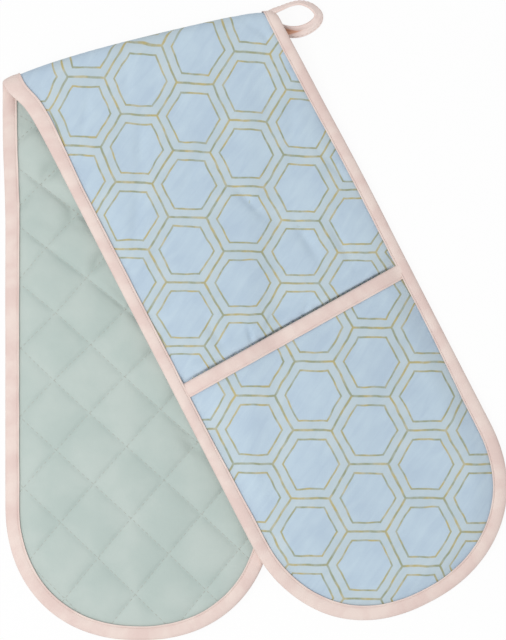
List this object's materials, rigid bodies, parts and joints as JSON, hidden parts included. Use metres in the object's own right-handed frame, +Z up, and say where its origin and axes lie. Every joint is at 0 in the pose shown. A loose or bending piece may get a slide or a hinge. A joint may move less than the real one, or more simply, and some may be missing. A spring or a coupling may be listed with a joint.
{
  "type": "double oven glove",
  "caption": "Long padded strip with a hand pocket sewn on each end, bound with bias tape, folded in two with its legs fanned and a tape loop for hanging at the fold",
  "frame": {"origin": "middle of the folded glove's outline, on the table it lies on", "axes": "+Z up from the table, +Y along the back leg from its round end to the fold, +X to the side where the front leg fans out"},
  "size_m": [0.3448, 0.4406, 0.0329],
  "materials": {
    "printed_cotton": "plain weave cotton, pale blue with a fine honeycomb line print",
    "quilted_lining": "plain weave cotton, sage green, quilted in diamonds",
    "pocket_lining": "plain weave cotton, sage green",
    "wadding": "white polyester wadding",
    "bias_tape": "folded cotton bias tape, pale pink",
    "loop_tape": "folded and stitched cotton tape, pale pink"
  },
  "bodies": {
    "back_leg": {"back_print": "printed_cotton", "back_wadding": "wadding", "back_lining": "quilted_lining", "back_edge_binding": "bias_tape"},
    "fold": {"fold_print": "printed_cotton", "fold_wadding": "wadding", "fold_lining": "quilted_lining", "fold_binding_left": "bias_tape", "fold_binding_right": "bias_tape"},
    "front_leg": {"front_print": "printed_cotton", "front_wadding": "wadding", "front_lining": "quilted_lining", "front_edge_binding": "bias_tape"},
    "back_pocket": {"back_pocket_print": "printed_cotton", "back_pocket_wadding": "wadding", "back_pocket_lining": "pocket_lining", "back_mouth_binding": "bias_tape"},
    "front_pocket": {"front_pocket_print": "printed_cotton", "front_pocket_wadding": "wadding", "front_pocket_lining": "pocket_lining", "front_mouth_binding": "bias_tape"},
    "loop": {"hanging_loop": "loop_tape"}
  },
  "joints": [
    {"name": "fold_lower", "type": "hinge", "parent": "back_leg", "child": "fold", "pos_m": [-0.08074, 0.18972, 0.00434], "axis": [-0.9722, -0.2343, 0], "range_deg": [0, 88], "deforming": ["fold_print", "fold_wadding", "fold_lining", "fold_binding_left", "fold_binding_right"]},
    {"name": "fold_upper", "type": "hinge", "parent": "fold", "child": "front_leg", "pos_m": [-0.08074, 0.18972, 0.01266], "axis": [-0.9722, -0.2343, 0], "range_deg": [0, 88]},
    {"name": "back_pocket_opening", "type": "hinge", "parent": "back_leg", "child": "back_pocket", "pos_m": [-0.07977, -0.21043, 0.0009], "axis": [-1, 0, 0], "range_deg": [0, 12]},
    {"name": "front_pocket_opening", "type": "hinge", "parent": "front_leg", "child": "front_pocket", "pos_m": [0.11551, -0.18737, 0.00725], "axis": [0.8902, 0.4555, 0], "range_deg": [0, 12]},
    {"name": "loop_lift", "type": "hinge", "parent": "back_leg", "child": "loop", "pos_m": [0.01303, 0.20196, 0.01023], "axis": [0, -1, 0], "range_deg": [0, 15]}
  ],
  "couplings": [
    {"joint": "fold_upper", "follows": "fold_lower", "ratio": 1}
  ]
}
